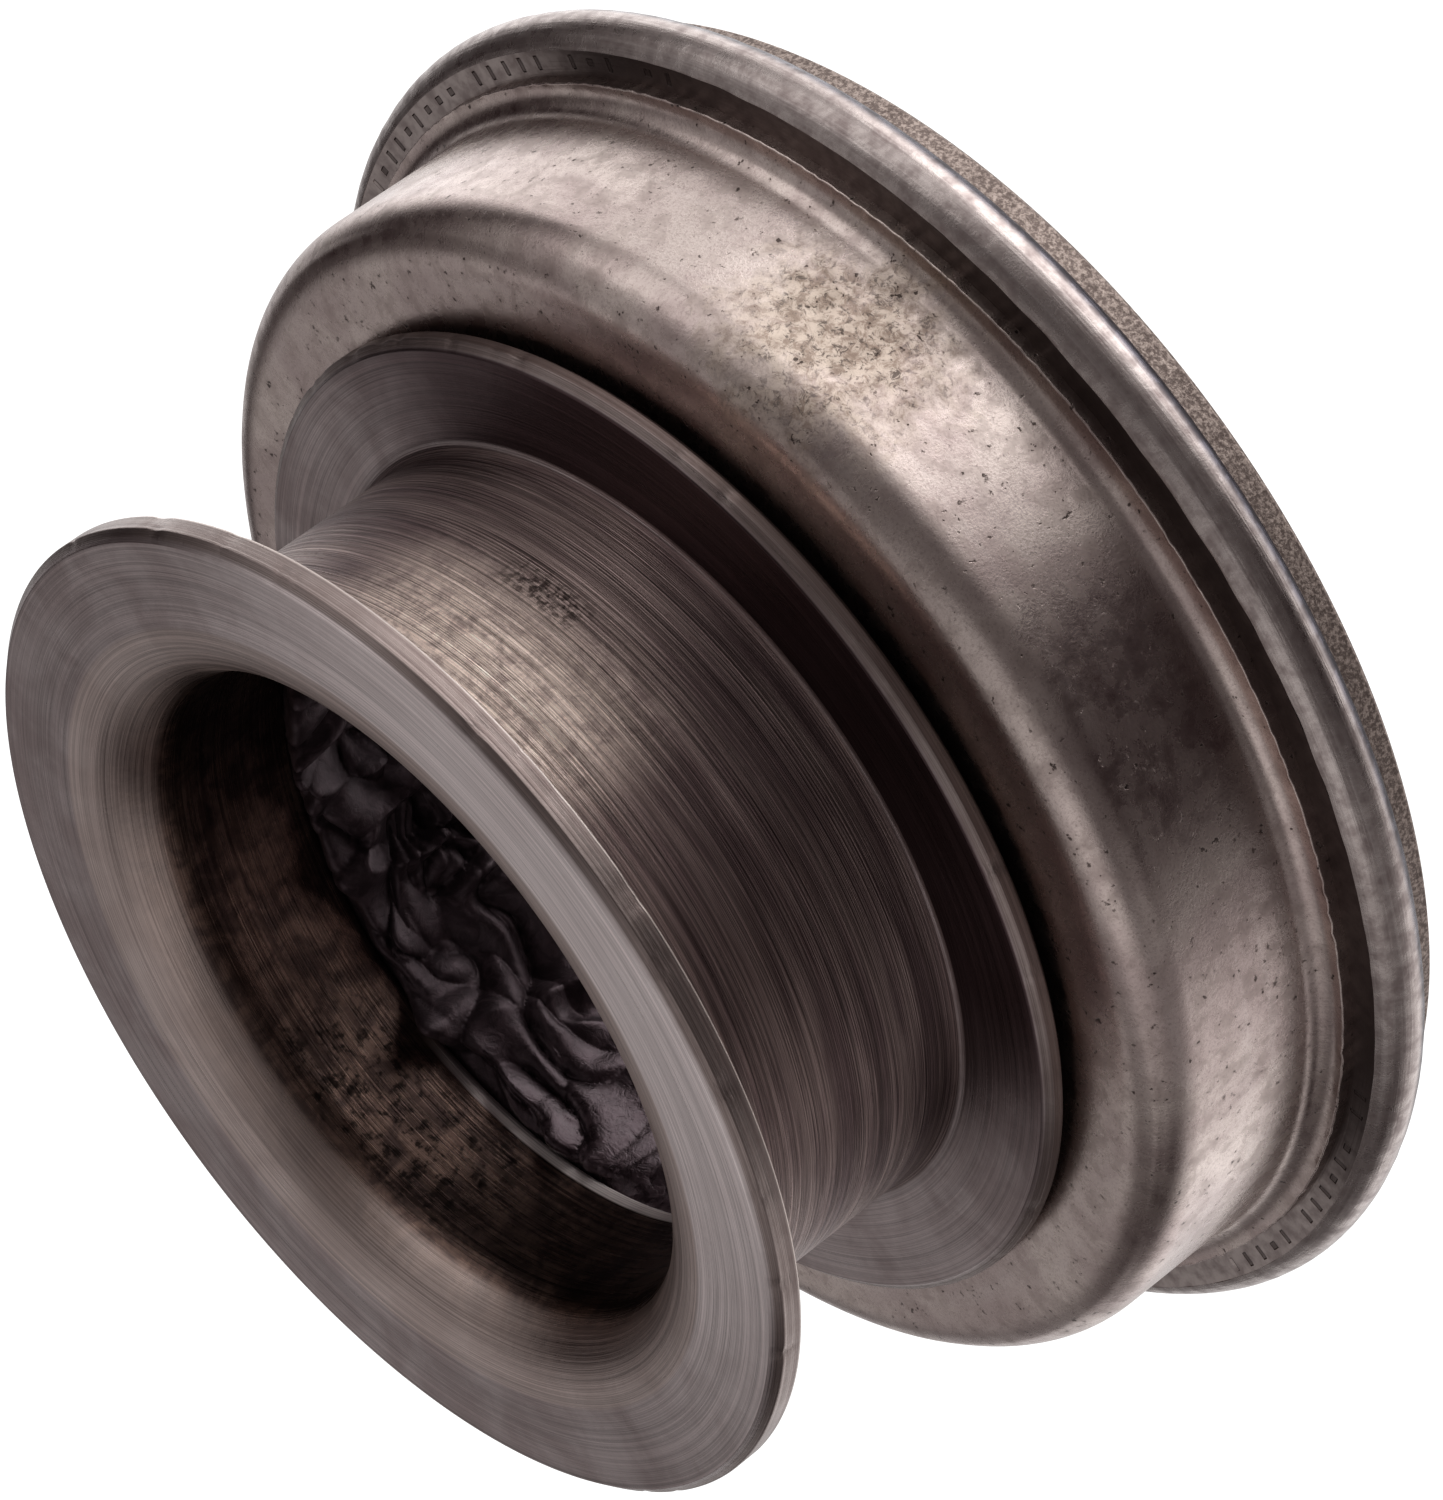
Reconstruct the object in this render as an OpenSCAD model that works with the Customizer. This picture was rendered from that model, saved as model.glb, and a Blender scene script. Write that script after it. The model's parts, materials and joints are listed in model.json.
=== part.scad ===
// Clutch release bearing pressed on its carrier sleeve.
// The axis is +Z. The thrust face lies on z = 0 and the fork flange is at the top.

/* [Carrier sleeve] */
// Height from the thrust face to the front face
total_h = 37; // [36.5:0.1:38]
// Bore that slides on the gearbox quill
bore_d = 34.95; // [34.6:0.01:35.2]
// Largest diameter of the front flange
front_flange_d = 53; // [51:0.1:55]
// Thickness of the front flange
front_flange_t = 1.65; // [1.4:0.05:2]
// Width of the groove for the clutch fork
groove_w = 15.9; // [15.5:0.1:16.2]
// Diameter at the bottom of the fork groove
groove_d = 41.4; // [41:0.1:42]
// Largest diameter of the rear flange
rear_flange_d = 53.1; // [51:0.1:55]
// Thickness of the rear flange
rear_flange_t = 1.25; // [1:0.05:1.3]
// Chamfer on the flange rims
rim_chamfer = 0.5; // [0.3:0.05:0.6]
// Radius of the bell mouth where the bore meets the front face
mouth_r = 4; // [3:0.1:4.5]
// Diameter of the grease recess inside the bore
recess_d = 37; // [36:0.1:37.2]
// Depth of the recess's front edge below the front face
recess_start = 10.6; // [8:0.1:11]
// Length of the grease recess
recess_len = 15.7; // [10:0.1:18]
// Height of the sleeve's rear end above the thrust face
sleeve_end = 2; // [1.5:0.1:2.4]

/* [Bearing] */
// Ball diameter, 5/16 inch
ball_d = 7.94; // [7.9:0.01:7.95]
// Number of balls
ball_count = 15; // [12:1:16]
// Radius of the circle that the ball centres run on
pitch_r = 25.2; // [25.1:0.05:25.3]
// Height of the ball centres above the thrust face
ball_z = 9; // [8.9:0.05:9.1]
// Gap between a ball and its raceways
race_gap = 0.05; // [0.02:0.01:0.08]
// Gap between a ball and its cage pocket
pocket_gap = 0.1; // [0.05:0.01:0.15]
// Sheet thickness of the cage
cage_t = 1.2; // [0.8:0.1:1.3]
// Diameter of the seat for the inner race
seat_d = 39.6; // [39.5:0.05:39.8]

/* [Housing] */
// Outer diameter of the shell's wall
shell_d = 64.1; // [64:0.05:64.3]
// Height of the shell's flat face above the thrust face
shell_top = 17.7; // [17.6:0.05:17.9]
// Sheet thickness of the shell
shell_t = 1.3; // [1.25:0.01:1.3]
// Outside radius of the shell's large corner
shell_corner = 2.6; // [2:0.1:3]
// Diameter of the shell's turned-out edge
ledge_d = 66.8; // [66.4:0.1:67]
// Height of the top of the turned-out edge
ledge_top = 7; // [6.8:0.05:7.2]
// Diameter of the hole where the sleeve passes through
shell_hole_d = 42.4; // [42:0.1:43]

/* [Rolled rim] */
// Radius of the circle that the rolled section is centred on
rim_centre_r = 34.26; // [34.2:0.01:34.3]
// Height of the rolled section's centre
rim_centre_z = 4.85; // [4.8:0.01:4.9]
// Outside radius of the rolled section
rim_roll_r = 1.67; // [1.6:0.01:1.7]
// Sheet thickness of the rolled rim
rim_t = 0.6; // [0.5:0.05:0.65]

/* [Hidden] */
$fn = 120;

// Sleeve heights and radii
bore_r = bore_d / 2;
seat_r = seat_d / 2;
groove_r = groove_d / 2;
groove_top = total_h - front_flange_t;
rear_flange_top = groove_top - groove_w;
rear_flange_bottom = rear_flange_top - rear_flange_t;
recess_top = total_h - recess_start;
recess_bottom = recess_top - recess_len;
root_fillet = 0.4;
end_chamfer = 0.4;
rear_chamfer = rim_chamfer / 2;

// Raceway heights and radii
ball_r = ball_d / 2;
groove_arc = ball_r + race_gap;
race_top = 15.2;
race_bottom = 7;
felt_t = 1.1;
felt_r = 25;
thrust_bore_r = 22.5;
thrust_bore_chamfer = 0.9;
thrust_back_chamfer = 0.6;
thrust_pad_r = 31.2;
pad_chamfer = 0.4;
thrust_edge_r = 33.73;
thrust_edge_chamfer = 0.3;
pad_step = 1.1;
shoulder_top = 10.9;
shoulder_chamfer = 0.4;
inner_race_chamfer = 0.3;
inner_lip_chamfer = 0.5;
cage_reach = 5.3;

// Shell heights and radii
shell_r = shell_d / 2;
shell_in_r = shell_r - shell_t;
ledge_r = ledge_d / 2;
ledge_t = 0.65;
flange_face = ledge_top - ledge_t;
root_r = 1.1;

// Angles that the rolled rim runs between, from its outward direction
roll_start = 70;
roll_end = -100;

// Dust shield on the sleeve's rear end
shield_r = 22.25;
shield_z = 3;
shield_t = 0.7;
shield_hub_t = 0.6;
shield_hub_h = 2.4;

// Points on an arc about (x, y), from angle a0 to angle a1
function arc(x, y, r, a0, a1, steps = 16) =
    [for (i = [0:steps]) let (a = a0 + (a1 - a0) * i / steps) [x + r * cos(a), y + r * sin(a)]];

// Turns a closed outline of [radius, height] points about the axis
module turned(points) {
    rotate_extrude() polygon(points);
}

// Turned steel sleeve with two flanges, the fork groove between them and a recessed bore
module carrier_sleeve() {
    front_r = front_flange_d / 2;
    rear_r = rear_flange_d / 2;
    mouth_outer = bore_r + mouth_r;
    color("dimgray") difference() {
        turned(concat(
            arc(mouth_outer, total_h - mouth_r, mouth_r, 180, 90),
            [[front_r - rim_chamfer, total_h], [front_r, total_h - rim_chamfer], [front_r, groove_top]],
            arc(groove_r + root_fillet, groove_top - root_fillet, root_fillet, 90, 180, 6),
            arc(groove_r + root_fillet, rear_flange_top + root_fillet, root_fillet, 180, 270, 6),
            [[rear_r - rim_chamfer, rear_flange_top], [rear_r, rear_flange_top - rim_chamfer]],
            [[rear_r, rear_flange_bottom + rear_chamfer], [rear_r - rear_chamfer, rear_flange_bottom]],
            [[groove_r, rear_flange_bottom], [groove_r, race_top], [seat_r, race_top]],
            [[seat_r, sleeve_end + end_chamfer], [seat_r - end_chamfer, sleeve_end]],
            [[bore_r + end_chamfer, sleeve_end], [bore_r, sleeve_end + end_chamfer]]
        ));
        translate([0, 0, recess_bottom]) cylinder(h = recess_len, d = recess_d);
    }
}

// Grease packed in the bore's recess, clear of the quill
module bore_grease() {
    grease_gap = 0.25;
    color("black") difference() {
        translate([0, 0, recess_bottom]) cylinder(h = recess_len, d = recess_d);
        translate([0, 0, recess_bottom - 1]) cylinder(h = recess_len + 2, r = bore_r + grease_gap);
    }
}

// Fixed raceway, pressed on the sleeve's seat
module inner_race() {
    lip_angle = 80;
    lip_r = pitch_r + groove_arc * cos(lip_angle);
    raceway_in_r = pitch_r - groove_arc;
    color("silver") turned(concat(
        [[seat_r, race_top], [seat_r, race_bottom], [raceway_in_r - inner_race_chamfer, race_bottom]],
        [[raceway_in_r, race_bottom + inner_race_chamfer]],
        arc(pitch_r, ball_z, groove_arc, 180, lip_angle, 20),
        [[lip_r, race_top - inner_lip_chamfer], [lip_r - inner_lip_chamfer, race_top]]
    ));
}

// Felt ring that keeps grease behind the shell's face
module felt_seal() {
    color("tan") translate([0, 0, race_top]) difference() {
        cylinder(h = felt_t, r = felt_r);
        translate([0, 0, -1]) cylinder(h = felt_t + 2, r = groove_r);
    }
}

// Pressed steel shield on the sleeve's rear end
module dust_shield() {
    color("gray") turned([
        [seat_r, shield_z], [shield_r, shield_z], [shield_r, shield_z + shield_t],
        [seat_r + shield_hub_t, shield_z + shield_t],
        [seat_r + shield_hub_t, shield_z + shield_hub_h], [seat_r, shield_z + shield_hub_h]
    ]);
}

// Pressed steel cup over the balls, with a turned-out edge on the thrust race
module housing_shell() {
    hole_r = shell_hole_d / 2;
    inner_corner = shell_corner - shell_t;
    color("rosybrown") turned(concat(
        [[hole_r, shell_top - shell_t], [hole_r, shell_top]],
        arc(shell_r - shell_corner, shell_top - shell_corner, shell_corner, 90, 0),
        arc(shell_r + root_r, ledge_top + root_r, root_r, 180, 270, 8),
        [[ledge_r, ledge_top], [ledge_r, flange_face], [shell_in_r, flange_face]],
        arc(shell_r - shell_corner, shell_top - shell_corner, inner_corner, 0, 90, 10)
    ));
}

// Rolled steel rim that grips the thrust race's edge
module rim_band() {
    color("lightgray") turned(concat(
        arc(rim_centre_r, rim_centre_z, rim_roll_r, roll_end, roll_start, 24),
        arc(rim_centre_r, rim_centre_z, rim_roll_r - rim_t, roll_start, roll_end, 20)
    ));
}

// Turning raceway with the ground thrust face that pushes on the clutch levers
module thrust_race() {
    inner_roll = rim_roll_r - rim_t;
    roll_seat = arc(rim_centre_r, rim_centre_z, inner_roll, roll_end, roll_start, 20);
    last = roll_seat[len(roll_seat) - 1];
    groove_inner = -100;
    floor_z = ball_z + groove_arc * sin(groove_inner);
    color("slategray") turned(concat(
        [[thrust_bore_r, thrust_bore_chamfer], [thrust_bore_r + thrust_bore_chamfer, 0]],
        [[thrust_pad_r - pad_chamfer, 0], [thrust_pad_r, pad_chamfer], [thrust_pad_r, pad_step]],
        [[thrust_edge_r - thrust_edge_chamfer, pad_step], [thrust_edge_r, pad_step + thrust_edge_chamfer]],
        [[thrust_edge_r, roll_seat[0][1]]],
        roll_seat,
        [[last[0], flange_face], [shell_in_r, flange_face], [shell_in_r, shoulder_top - shoulder_chamfer]],
        [[shell_in_r - shoulder_chamfer, shoulder_top], [pitch_r + groove_arc, shoulder_top]],
        arc(pitch_r, ball_z, groove_arc, 0, groove_inner, 20),
        [[thrust_bore_r + thrust_back_chamfer, floor_z], [thrust_bore_r, floor_z - thrust_back_chamfer]]
    ));
}

// Conical sheet cage with a round pocket for each ball
module ball_cage() {
    half = cage_t / 2;
    along = [cos(45), sin(45)];
    across = [-sin(45), cos(45)];
    centre = [pitch_r, ball_z];
    color("darkkhaki") difference() {
        turned([
            centre - cage_reach * along - half * across, centre + cage_reach * along - half * across,
            centre + cage_reach * along + half * across, centre - cage_reach * along + half * across
        ]);
        for (i = [1:ball_count]) at_ball(i) sphere(r = ball_r + pocket_gap);
    }
}

// Puts a shape at the centre of ball i
module at_ball(i) {
    rotate([0, 0, (i - 1) * 360 / ball_count]) translate([pitch_r, 0, ball_z]) children();
}

// One steel ball
module ball(i) {
    color("gainsboro") at_ball(i) sphere(r = ball_r);
}

carrier_sleeve();
bore_grease();
inner_race();
felt_seal();
dust_shield();
housing_shell();
rim_band();
thrust_race();
ball_cage();
for (i = [1:ball_count]) ball(i);
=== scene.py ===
"""Looks for the clutch release bearing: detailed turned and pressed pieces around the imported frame."""
import json
import math

import bmesh
import bpy
import numpy as np
from mathutils import Matrix, Vector


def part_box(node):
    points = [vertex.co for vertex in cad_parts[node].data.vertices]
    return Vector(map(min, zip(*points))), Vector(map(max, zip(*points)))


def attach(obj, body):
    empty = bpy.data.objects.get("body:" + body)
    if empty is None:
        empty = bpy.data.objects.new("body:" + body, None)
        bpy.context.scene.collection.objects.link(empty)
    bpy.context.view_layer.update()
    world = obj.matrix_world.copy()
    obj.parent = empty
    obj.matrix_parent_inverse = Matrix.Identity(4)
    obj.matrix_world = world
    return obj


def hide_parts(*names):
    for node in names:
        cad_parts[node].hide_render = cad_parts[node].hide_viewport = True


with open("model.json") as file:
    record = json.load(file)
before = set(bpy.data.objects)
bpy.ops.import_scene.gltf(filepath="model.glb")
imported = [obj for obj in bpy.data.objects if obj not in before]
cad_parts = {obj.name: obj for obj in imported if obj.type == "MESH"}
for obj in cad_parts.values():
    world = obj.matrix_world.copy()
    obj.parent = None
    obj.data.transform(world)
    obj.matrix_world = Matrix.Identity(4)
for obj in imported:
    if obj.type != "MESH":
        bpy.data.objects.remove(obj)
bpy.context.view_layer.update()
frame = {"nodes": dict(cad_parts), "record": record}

# ---------------------------------------------------------------- sizes
MM = 0.001


def top(node):
    """Height of a CAD node's highest point."""
    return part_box(node)[1].z


def foot(node):
    """Height of a CAD node's lowest point."""
    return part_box(node)[0].z


def reach(node):
    """Largest radius of a CAD node, all of which are round."""
    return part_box(node)[1].x


mounts = {m["name"]: m for m in frame["record"]["mounts"]}

# Carrier sleeve, as in the CAD
TOTAL_H = top("carrier_sleeve")
SLEEVE_END = foot("carrier_sleeve")
BORE_R = mounts["bore"]["dims"]["r_mm"] * MM
GROOVE_R = mounts["fork_groove"]["dims"]["r_mm"] * MM
GROOVE_W = mounts["fork_groove"]["dims"]["length_mm"] * MM
REAR_FLANGE_R = reach("carrier_sleeve")
FRONT_FLANGE_R = REAR_FLANGE_R - 0.05 * MM
FRONT_FLANGE_T = 1.65 * MM
REAR_FLANGE_T = 1.25 * MM
RIM_CHAMFER = 0.5 * MM
MOUTH_R = 4.0 * MM
RECESS_R = reach("bore_grease")
RECESS_TOP = top("bore_grease")
RECESS_BOTTOM = foot("bore_grease")
GREASE_R = BORE_R + 0.25 * MM
SEAT_R = 19.8 * MM
RACE_TOP = top("inner_race")
GROOVE_TOP = TOTAL_H - FRONT_FLANGE_T
REAR_FLANGE_TOP = GROOVE_TOP - GROOVE_W
REAR_FLANGE_BOTTOM = REAR_FLANGE_TOP - REAR_FLANGE_T

# Shell, rolled rim and thrust race, as in the CAD
SHELL_R = 32.05 * MM
SHELL_T = 1.3 * MM
SHELL_IN_R = SHELL_R - SHELL_T
SHELL_TOP = top("housing_shell")
SHELL_CORNER = 2.6 * MM
SHELL_HOLE_R = 21.2 * MM
LEDGE_R = reach("housing_shell")
LEDGE_TOP = 7.0 * MM
FLANGE_FACE = foot("housing_shell")
SHELL_ROOT = 1.1 * MM
ROLL_R = 1.67 * MM
ROLL_T = 0.6 * MM
ROLL_CENTRE_R = reach("rim_band") - ROLL_R
ROLL_CENTRE_Z = 4.85 * MM
ROLL_FROM, ROLL_TO = -100, 70
THRUST_BORE_R = 22.5 * MM
THRUST_CHAMFER = 0.9 * MM
THRUST_PAD_R = 31.2 * MM
THRUST_EDGE_R = 33.73 * MM
PAD_STEP = 1.1 * MM
SHOULDER_TOP = top("thrust_race")
PITCH_R = 25.2 * MM
BALL_Z = 9.0 * MM
RACEWAY = 4.02 * MM

# ---------------------------------------------------------------- mesh helpers
DEGREES_A_STEP = 18  # round a fillet
BEFORE_CORNER = 1.12  # a support point just outside each fillet keeps its shading crisp


def arc(x, y, r, a0, a1, steps=14):
    """Points on an arc about (x, y), from a0 to a1 degrees, with no rounding of their own."""
    angles = [math.radians(a0 + (a1 - a0) * i / steps) for i in range(steps + 1)]
    return [(x + r * math.cos(a), y + r * math.sin(a), 0.0) for a in angles]


def rounded(corners):
    """A closed outline of (radius, height, fillet) corners, each rounded by its fillet."""
    points = []
    for i, (x, y, fillet) in enumerate(corners):
        here = Vector((x, y))
        if fillet <= 0:
            points.append(here)
            continue
        back = Vector(corners[i - 1][:2]) - here
        ahead = Vector(corners[(i + 1) % len(corners)][:2]) - here
        back_len, ahead_len = back.length, ahead.length
        back, ahead = back.normalized(), ahead.normalized()
        half = back.angle(ahead) / 2
        away = min(fillet / math.tan(half), 0.45 * back_len, 0.45 * ahead_len)
        radius = away * math.tan(half)
        centre = here + (back + ahead).normalized() * radius / math.sin(half)
        start, end = here + back * away - centre, here + ahead * away - centre
        turn = start.angle_signed(end)
        steps = max(3, round(abs(math.degrees(turn)) / DEGREES_A_STEP))
        points.append(here + back * away * BEFORE_CORNER)
        for k in range(steps + 1):
            c, s = math.cos(-turn * k / steps), math.sin(-turn * k / steps)
            points.append(centre + Vector((start.x * c - start.y * s, start.x * s + start.y * c)))
        points.append(here + ahead * away * BEFORE_CORNER)
    return points


def refined(points, longest):
    """The closed outline with extra points wherever two lie further apart than longest."""
    out = []
    for i, p in enumerate(points):
        q = points[(i + 1) % len(points)]
        steps = max(1, math.ceil((q - p).length / longest))
        out += [p + (q - p) * k / steps for k in range(steps)]
    return out


def finish_mesh(name, verts, faces, sharp_deg):
    """A smooth-shaded object with sharp edges where its surface turns quickly."""
    mesh = bpy.data.meshes.new(name)
    mesh.from_pydata(verts, [], faces)
    bm = bmesh.new()
    bm.from_mesh(mesh)
    bmesh.ops.recalc_face_normals(bm, faces=bm.faces)
    bm.to_mesh(mesh)
    bm.free()
    mesh.polygons.foreach_set("use_smooth", [True] * len(mesh.polygons))
    mesh.set_sharp_from_angle(angle=math.radians(sharp_deg))
    made = bpy.data.objects.new(name, mesh)
    bpy.context.scene.collection.objects.link(made)
    return made


def lathe(name, outline, segments, shape=None, sharp_deg=40):
    """Turns a closed outline about the axis. shape moves its points: (r, z, angle) to (r, z)."""
    profile = np.array([(p.x, p.y) for p in outline])
    count = len(profile)
    angle = np.linspace(0, 2 * math.pi, segments, endpoint=False)[:, None]
    r = np.repeat(profile[None, :, 0], segments, 0)
    z = np.repeat(profile[None, :, 1], segments, 0)
    if shape:
        r, z = shape(r, z, np.repeat(angle, count, 1))
    verts = np.stack([r * np.cos(angle), r * np.sin(angle), z], -1).reshape(-1, 3)
    i, j = np.meshgrid(np.arange(segments), np.arange(count), indexing="ij")
    i2, j2 = (i + 1) % segments, (j + 1) % count
    faces = np.stack([i * count + j, i2 * count + j, i2 * count + j2, i * count + j2], -1).reshape(-1, 4)
    return finish_mesh(name, verts.tolist(), faces.tolist(), sharp_deg)


def ripple(angle, seed, low, high):
    """A smooth random wave round the axis, about -1 to 1, of low to high cycles a turn."""
    rng = np.random.default_rng(seed)
    cycles = rng.integers(low, high + 1, 24)
    phases = rng.uniform(0, 2 * math.pi, 24)
    waves = [np.cos(angle * c + p) for c, p in zip(cycles, phases)]
    return sum(waves) / math.sqrt(len(waves) / 2) / 1.6


def near(value, centre, width):
    """A soft bump, 1 at the centre and fading over the width."""
    return np.exp(-(((value - centre) / width) ** 2))


def turn_from(angle, degrees):
    """Signed angle in radians from a direction given in degrees."""
    return (angle - math.radians(degrees) + math.pi) % (2 * math.pi) - math.pi


def knocks(r, z, angle, seed, count, rim_r, rim_z, depth):
    """How far handling has pushed in a rim at (rim_r, rim_z), at random places round it."""
    rng = np.random.default_rng(seed)
    rim = near(r, rim_r, 0.35 * MM) * near(z, rim_z, 0.35 * MM)
    total = np.zeros_like(r)
    for _ in range(count):
        at, width = rng.uniform(-180, 180), rng.uniform(0.15, 0.6) * MM
        total += rng.uniform(0.2, 1.0) * near(turn_from(angle, at) * rim_r, 0, width)
    return np.minimum(total, 1.0) * rim * depth


# ---------------------------------------------------------------- pieces


def carrier_sleeve():
    """The turned sleeve: two thin flanges, the fork groove and the recessed bore."""
    edge = 0.1 * MM
    mouth_outer = BORE_R + MOUTH_R
    front_r, rear_r = FRONT_FLANGE_R, REAR_FLANGE_R
    land_round = 0.9 * MM
    corners = arc(mouth_outer, TOTAL_H - MOUTH_R, MOUTH_R, 180, 90, 26) + [
        (front_r - RIM_CHAMFER, TOTAL_H, edge),
        (front_r, TOTAL_H - RIM_CHAMFER, edge),
        (front_r, GROOVE_TOP, 0.15 * MM),
        (GROOVE_R, GROOVE_TOP, 0.45 * MM),
        (GROOVE_R, REAR_FLANGE_TOP, 0.6 * MM),
        (rear_r - RIM_CHAMFER, REAR_FLANGE_TOP, edge),
        (rear_r, REAR_FLANGE_TOP - 0.4 * MM, edge),
        (rear_r, REAR_FLANGE_BOTTOM + 0.3 * MM, edge),
        (rear_r - 0.3 * MM, REAR_FLANGE_BOTTOM, edge),
        (GROOVE_R, REAR_FLANGE_BOTTOM, edge),
        (GROOVE_R, RACE_TOP, edge),
        (SEAT_R, RACE_TOP, 0),
        (SEAT_R, SLEEVE_END + 0.4 * MM, edge),
        (SEAT_R - 0.4 * MM, SLEEVE_END, edge),
        (BORE_R + 0.4 * MM, SLEEVE_END, edge),
        (BORE_R, SLEEVE_END + 0.4 * MM, edge),
        (BORE_R, RECESS_BOTTOM, 0.1 * MM),
        (RECESS_R, RECESS_BOTTOM, 0),
        (RECESS_R, RECESS_TOP, 0),
        (BORE_R, RECESS_TOP, land_round),
    ]
    outline = refined(rounded(corners), 2.5 * MM)

    def shape(r, z, angle):
        push = knocks(r, z, angle, 3, 26, front_r, TOTAL_H - RIM_CHAMFER, 0.10 * MM)
        push += knocks(r, z, angle, 5, 20, front_r, GROOVE_TOP, 0.10 * MM)
        push += knocks(r, z, angle, 8, 30, rear_r, REAR_FLANGE_TOP - 0.4 * MM, 0.12 * MM)
        return r - push, z

    return lathe("carrier_sleeve_turned", outline, 560, shape)


# Where the grease is torn, in degrees round the bore
TORN_SIDE = 62
TORN_HEAP = 122


def field(x, y, z, seed, size, squash=1.0, waves=36):
    """A smooth random field, mostly -2 to 2, with features of the given size in mm."""
    rng = np.random.default_rng(seed)
    total = np.zeros_like(x)
    for _ in range(waves):
        way = rng.normal(size=3)
        way = way / np.linalg.norm(way) * 2 * math.pi / size * rng.uniform(0.5, 1.3)
        total += np.cos(way[0] * x + way[1] * y + way[2] * z * squash + rng.uniform(0, 2 * math.pi))
    return total / math.sqrt(waves / 2)


def grease_folds(x, y, z):
    """Heaped folds and finer pleats of stiff grease, at points in mm. About 0 to 1."""
    bx, by, bz = [1.6 * field(x, y, z, seed, 9) for seed in (1, 2, 3)]
    heap = field(x + bx, y + by, z + bz, 4, 11, 1.3)
    heap = 1 - np.abs(np.clip(heap, -1.6, 1.6))
    leaf = field(x + 0.7 * bx, y + 0.7 * by, z + 0.7 * bz, 5, 10, 1.6)
    leaf = np.abs(np.sin(1.7 * leaf + 0.5 * z))
    pleat = field(x + bx, y + by, z + bz, 6, 14, 2.2)
    pleat = np.abs(np.sin(3.2 * pleat + 1.1 * z))
    return 0.42 * heap + 0.40 * leaf**0.7 + 0.16 * pleat**0.7


def bore_grease():
    """Grease in the recess: heaped in torn folds on one side, smoother and sunk on the other."""
    segments, low_rows, high_rows = 640, 24, 112
    split = RECESS_BOTTOM + 7 * MM
    heights = list(np.linspace(RECESS_BOTTOM, split, low_rows, endpoint=False))
    heights += list(np.linspace(split, RECESS_TOP, high_rows))
    outline = [Vector((GREASE_R, h)) for h in heights]
    outline += [Vector((RECESS_R, RECESS_TOP)), Vector((RECESS_R, RECESS_BOTTOM))]

    def shape(r, z, angle):
        inside = r < (GREASE_R + RECESS_R) / 2
        up = (z - RECESS_BOTTOM) / (RECESS_TOP - RECESS_BOTTOM)
        folds = grease_folds(GREASE_R * np.cos(angle) / MM, GREASE_R * np.sin(angle) / MM, z / MM)
        torn = 0.5 + 0.5 * np.tanh(4 * (np.cos(turn_from(angle, TORN_SIDE)) - 0.55))
        torn = np.maximum(torn, 0.55 * near(turn_from(angle, TORN_HEAP), 0, 0.3))
        base = RECESS_R - (0.30 + 0.85 * torn) * MM
        heaped = np.clip(folds + 0.15, 0, 1.2) * (0.45 + 1.75 * torn) * MM
        rounding = np.clip((up - 0.93) / 0.07, 0, 1)
        closing = np.sqrt(1 - rounding**2) * np.clip(up / 0.06, 0, 1)
        rise = heaped * closing
        wall = RECESS_R - 0.06 * MM
        skin = np.minimum(base, wall) * closing + wall * (1 - closing) - rise
        spill = np.clip(rise - 0.4 * MM, 0, 1) * near(up, 1.0, 0.16) * 1.5
        return np.where(inside, skin, r), np.where(inside, z + spill, z)

    return lathe("bore_grease_folds", outline, segments, shape, sharp_deg=80)


def housing_shell():
    """The pressed cup, with the ragged cut edge of its turned-out ledge."""
    inner_corner = SHELL_CORNER - SHELL_T
    corner_r, corner_z = SHELL_R - SHELL_CORNER, SHELL_TOP - SHELL_CORNER
    corners = (
        [(SHELL_HOLE_R, SHELL_TOP - SHELL_T, 0.2 * MM), (SHELL_HOLE_R, SHELL_TOP, 0.3 * MM)]
        + arc(corner_r, corner_z, SHELL_CORNER, 90, 0, 18)
        + arc(SHELL_R + SHELL_ROOT, LEDGE_TOP + SHELL_ROOT, SHELL_ROOT, 180, 270, 10)
        + [(LEDGE_R, LEDGE_TOP, 0.08 * MM), (LEDGE_R, FLANGE_FACE, 0), (SHELL_IN_R, FLANGE_FACE, 0)]
        + arc(corner_r, corner_z, inner_corner, 0, 90, 8)
    )
    outline = refined(rounded(corners), 0.55 * MM)

    def shape(r, z, angle):
        at_edge = np.clip((r - (LEDGE_R - 0.9 * MM)) / (0.9 * MM), 0, 1) * (z < LEDGE_TOP + 0.3 * MM)
        raised = np.clip((z - FLANGE_FACE) / (LEDGE_TOP - FLANGE_FACE), 0, 1)
        ragged = ripple(angle, 31, 40, 260) * 0.03 * MM + ripple(angle, 33, 3, 9) * 0.06 * MM
        burr = np.clip(ripple(angle, 35, 20, 200), 0, 1) ** 2 * 0.08 * MM
        outside = (r > SHELL_IN_R + 0.4 * SHELL_T) | (z > SHELL_TOP - 0.3 * SHELL_T)
        wave = ripple(angle, 37, 2, 7) * 0.03 * MM
        pushed_in = np.where(outside & (at_edge <= 0), 0.03 * MM + wave, 0)
        new_r = r + at_edge * np.minimum(ragged, 0.12 * MM) - pushed_in
        return new_r, z + near(r, LEDGE_R, 0.12 * MM) * at_edge * burr * raised

    return lathe("housing_shell_pressed", outline, 720, shape)


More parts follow.
